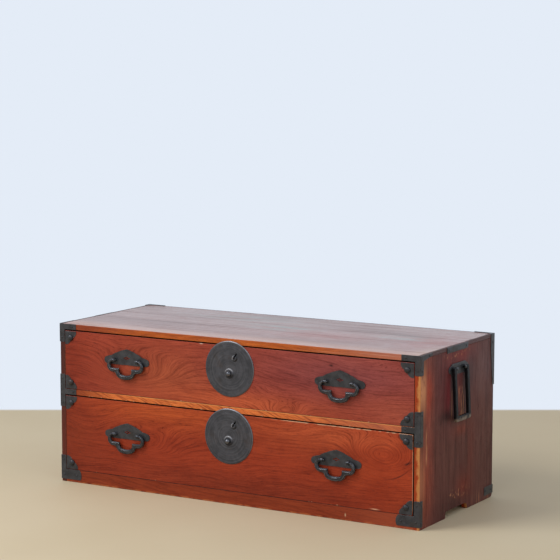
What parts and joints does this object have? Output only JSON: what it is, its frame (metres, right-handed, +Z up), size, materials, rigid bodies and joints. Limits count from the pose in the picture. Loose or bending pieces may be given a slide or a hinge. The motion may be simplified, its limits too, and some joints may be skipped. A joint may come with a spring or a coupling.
{
  "type": "small drawer chest",
  "caption": "Low wooden chest with full-width drawers, round push-lock plates, lobed swinging pulls, iron corner straps and folding side handles.",
  "frame": {"origin": "bottom centre of the whole chest's box, on the surface it stands on", "axes": "+X to the right seen from the front, -Y out of the drawer fronts, +Z up"},
  "size_m": [0.9424, 0.3716, 0.3652],
  "materials": {
    "case_wood": "hardwood under worn red-brown lacquer, satin",
    "front_wood": "figured hardwood under thin red-brown lacquer, satin",
    "inner_wood": "bare pale softwood, planed",
    "peg_wood": "bare hard wood",
    "forged_iron": "forged iron, dark oxide, waxed, semi-matt",
    "inner_iron": "filed iron, bare",
    "spring_steel": "tempered steel leaf"
  },
  "bodies": {
    "case": {"back_lower_board": "inner_wood", "back_upper_board": "inner_wood", "bottom_board": "inner_wood", "bottom_left_bracket": "forged_iron", "bottom_rail": "case_wood", "bottom_right_bracket": "forged_iron", "bracket_nails": "forged_iron", "case_pegs": "peg_wood", "drawer_shelf": "inner_wood", "handle_plates": "forged_iron", "handle_posts": "forged_iron", "left_edge_guard": "forged_iron", "left_side_panel": "case_wood", "middle_left_bracket": "forged_iron", "middle_rail": "case_wood", "middle_right_bracket": "forged_iron", "rear_bottom_brackets": "forged_iron", "rear_top_left_bracket": "forged_iron", "rear_top_right_bracket": "forged_iron", "right_edge_guard": "forged_iron", "right_side_panel": "case_wood", "top_board": "case_wood", "top_left_bracket": "forged_iron", "top_right_bracket": "forged_iron"},
    "left_handle": {"left_carrying_handle": "forged_iron"},
    "right_handle": {"right_carrying_handle": "forged_iron"},
    "upper_drawer": {"upper_corner_nails": "forged_iron", "upper_corner_plates": "forged_iron", "upper_drawer_back": "inner_wood", "upper_drawer_bottom": "inner_wood", "upper_drawer_front": "front_wood", "upper_drawer_left_side": "inner_wood", "upper_drawer_right_side": "inner_wood", "upper_left_pull_plate": "forged_iron", "upper_lock_case": "inner_iron", "upper_lock_plate": "forged_iron", "upper_lock_spring": "spring_steel", "upper_pull_posts": "forged_iron", "upper_right_pull_plate": "forged_iron"},
    "lower_drawer": {"lower_corner_nails": "forged_iron", "lower_corner_plates": "forged_iron", "lower_drawer_back": "inner_wood", "lower_drawer_bottom": "inner_wood", "lower_drawer_front": "front_wood", "lower_drawer_left_side": "inner_wood", "lower_drawer_right_side": "inner_wood", "lower_left_pull_plate": "forged_iron", "lower_lock_case": "inner_iron", "lower_lock_plate": "forged_iron", "lower_lock_spring": "spring_steel", "lower_pull_posts": "forged_iron", "lower_right_pull_plate": "forged_iron"},
    "upper_left_pull": {"upper_left_pull": "forged_iron"},
    "upper_right_pull": {"upper_right_pull": "forged_iron"},
    "upper_lock_button": {"upper_lock_button": "forged_iron"},
    "upper_lock_bolt": {"upper_lock_bolt": "inner_iron"},
    "lower_left_pull": {"lower_left_pull": "forged_iron"},
    "lower_right_pull": {"lower_right_pull": "forged_iron"},
    "lower_lock_button": {"lower_lock_button": "forged_iron"},
    "lower_lock_bolt": {"lower_lock_bolt": "inner_iron"}
  },
  "joints": [
    {"name": "upper_drawer_slide", "type": "slide", "parent": "case", "child": "upper_drawer", "axis": [0, -1, 0], "range_m": [0, 0.3]},
    {"name": "lower_drawer_slide", "type": "slide", "parent": "case", "child": "lower_drawer", "axis": [0, -1, 0], "range_m": [0, 0.3]},
    {"name": "right_handle_swing", "type": "hinge", "parent": "case", "child": "right_handle", "pos_m": [0.4617, 0.00258, 0.315], "axis": [0, -1, 0], "range_deg": [0, 175]},
    {"name": "left_handle_swing", "type": "hinge", "parent": "case", "child": "left_handle", "pos_m": [-0.4617, 0.00258, 0.315], "axis": [0, 1, 0], "range_deg": [0, 175]},
    {"name": "upper_left_pull_swing", "type": "hinge", "parent": "upper_drawer", "child": "upper_left_pull", "pos_m": [-0.272, -0.18043, 0.293], "axis": [-1, 0, 0], "range_deg": [-2, 178]},
    {"name": "upper_right_pull_swing", "type": "hinge", "parent": "upper_drawer", "child": "upper_right_pull", "pos_m": [0.2685, -0.18043, 0.293], "axis": [-1, 0, 0], "range_deg": [-2, 178]},
    {"name": "upper_lock_button_press", "type": "slide", "parent": "upper_drawer", "child": "upper_lock_button", "axis": [0, 1, 0], "range_m": [0, 0.004]},
    {"name": "upper_lock_bolt_throw", "type": "slide", "parent": "upper_drawer", "child": "upper_lock_bolt", "axis": [0, 0, 1], "range_m": [0, 0.008]},
    {"name": "lower_left_pull_swing", "type": "hinge", "parent": "lower_drawer", "child": "lower_left_pull", "pos_m": [-0.272, -0.18043, 0.1255], "axis": [-1, 0, 0], "range_deg": [-2, 178]},
    {"name": "lower_right_pull_swing", "type": "hinge", "parent": "lower_drawer", "child": "lower_right_pull", "pos_m": [0.2605, -0.18043, 0.1255], "axis": [-1, 0, 0], "range_deg": [-2, 178]},
    {"name": "lower_lock_button_press", "type": "slide", "parent": "lower_drawer", "child": "lower_lock_button", "axis": [0, 1, 0], "range_m": [0, 0.004]},
    {"name": "lower_lock_bolt_throw", "type": "slide", "parent": "lower_drawer", "child": "lower_lock_bolt", "axis": [0, 0, 1], "range_m": [0, 0.008]}
  ],
  "couplings": [
    {"joint": "upper_lock_bolt_throw", "follows": "upper_lock_button_press", "ratio": 2},
    {"joint": "lower_lock_bolt_throw", "follows": "lower_lock_button_press", "ratio": 2}
  ]
}
